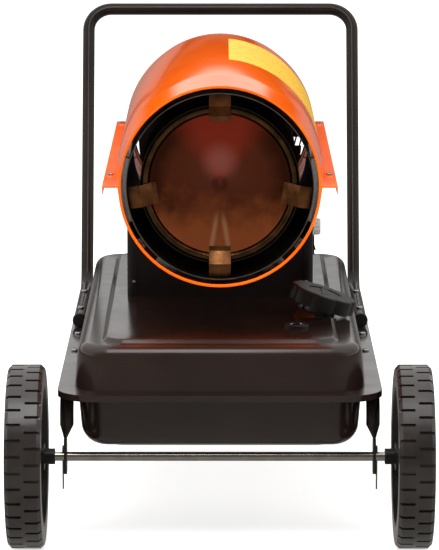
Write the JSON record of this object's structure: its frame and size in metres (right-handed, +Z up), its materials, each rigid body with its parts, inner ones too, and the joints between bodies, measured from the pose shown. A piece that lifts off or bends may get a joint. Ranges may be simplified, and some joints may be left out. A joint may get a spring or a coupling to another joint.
{
  "type": "forced air heater",
  "caption": "Wheeled forced-air torpedo heater: round orange burner drum on a flat black fuel tank, with control box, tubular support frame and rear U handle.",
  "frame": {"origin": "centre of the footprint at floor level, under the middle of the overall box", "axes": "+Z up, -Y out of the hot-air outlet, +X to the side with the fuel cap and the controls"},
  "size_m": [0.582, 1.1014, 0.6595],
  "materials": {
    "orange_paint": "gloss enamel on pressed sheet",
    "tank_paint": "gloss dark brown-black enamel",
    "box_paint": "semi-gloss black powder coat",
    "tube_paint": "gloss black powder coat on tube",
    "wheel_paint": "light grey enamel",
    "tyre": "matt black rubber",
    "axle_steel": "turned bright steel",
    "zinc": "bright zinc plate",
    "aluminised_steel": "mill-finish aluminised sheet",
    "heat_steel": "dark, heat-stained stainless sheet",
    "tinted_steel": "spun stainless, straw to copper heat tint",
    "brass": "turned",
    "fan_aluminium": "pressed and die-cast, satin",
    "motor_paint": "black enamel",
    "black_plastic": "fine texture",
    "grey_plastic": "pale grey moulding",
    "strainer_plastic": "natural nylon mesh",
    "rubber": "nitrile",
    "gauge_glass": "clear",
    "ceramic": "glazed insulator",
    "board_laminate": "green solder mask"
  },
  "bodies": {
    "root": {"air_line": "rubber", "air_pump": "fan_aluminium", "axle": "axle_steel", "axle_caps": "axle_steel", "baffle_disc": "tinted_steel", "baffle_straps": "tinted_steel", "box_front": "box_paint", "box_rear": "box_paint", "box_screws": "zinc", "box_side_left": "box_paint", "box_side_right": "box_paint", "burner_head": "aluminised_steel", "cable_gland": "black_plastic", "chamber_ring": "heat_steel", "chamber_spacers": "heat_steel", "combustion_chamber": "heat_steel", "control_board": "board_laminate", "drain_plug": "zinc", "drum_lower_shell": "orange_paint", "drum_upper_shell": "orange_paint", "electrodes": "ceramic", "fan_motor": "motor_paint", "filler_neck": "tank_paint", "filter_cover": "black_plastic", "frame_nuts": "zinc", "frame_screws": "zinc", "fuel_hose": "rubber", "fuel_nozzle": "brass", "fuel_strainer": "strainer_plastic", "gauge_body": "black_plastic", "gauge_window": "gauge_glass", "handle": "tube_paint", "handle_end_caps": "black_plastic", "handle_screws": "zinc", "heat_shield": "aluminised_steel", "hub_bushes": "black_plastic", "ignition_transformer": "black_plastic", "motor_bracket": "aluminised_steel", "pickup_pipe": "brass", "rear_guard": "tube_paint", "shell_screws": "zinc", "shield_spacers": "aluminised_steel", "split_pins": "axle_steel", "support_frame": "tube_paint", "switch_housing": "black_plastic", "tank_lower_shell": "tank_paint", "tank_upper_shell": "tank_paint", "thermostat": "black_plastic"},
    "left_wheel": {"tyre_left": "tyre", "rim_left": "wheel_paint"},
    "right_wheel": {"tyre_right": "tyre", "rim_right": "wheel_paint"},
    "fan": {"fan_blade": "fan_aluminium", "motor_shaft": "axle_steel"},
    "cap_insert": {"cap_seal": "rubber"},
    "cap": {"fuel_cap": "black_plastic"},
    "knob": {"thermostat_knob": "grey_plastic"},
    "rocker": {"power_rocker": "black_plastic"}
  },
  "joints": [
    {"name": "left_wheel_spin", "type": "hinge", "parent": "root", "child": "left_wheel", "pos_m": [-0.2665, -0.42375, 0.127], "axis": [1, 0, 0], "continuous": true},
    {"name": "right_wheel_spin", "type": "hinge", "parent": "root", "child": "right_wheel", "pos_m": [0.2665, -0.42375, 0.127], "axis": [1, 0, 0], "continuous": true},
    {"name": "fan_spin", "type": "hinge", "parent": "root", "child": "fan", "pos_m": [0, 0.01125, 0.506], "axis": [0, 1, 0], "continuous": true},
    {"name": "cap_lift", "type": "slide", "parent": "root", "child": "cap_insert", "axis": [0.309, 0, 0.9511], "range_m": [0, 0.05]},
    {"name": "cap_turn", "type": "hinge", "parent": "cap_insert", "child": "cap", "pos_m": [0.137, -0.23775, 0.286], "axis": [0.309, 0, 0.9511], "range_deg": [0, 90]},
    {"name": "thermostat_turn", "type": "hinge", "parent": "root", "child": "knob", "pos_m": [0.136, -0.07175, 0.391], "axis": [1, 0, 0], "range_deg": [0, 270]},
    {"name": "power_switch", "type": "hinge", "parent": "root", "child": "rocker", "pos_m": [0.1336, -0.07175, 0.364], "axis": [0, 1, 0], "range_deg": [0, 16]}
  ]
}
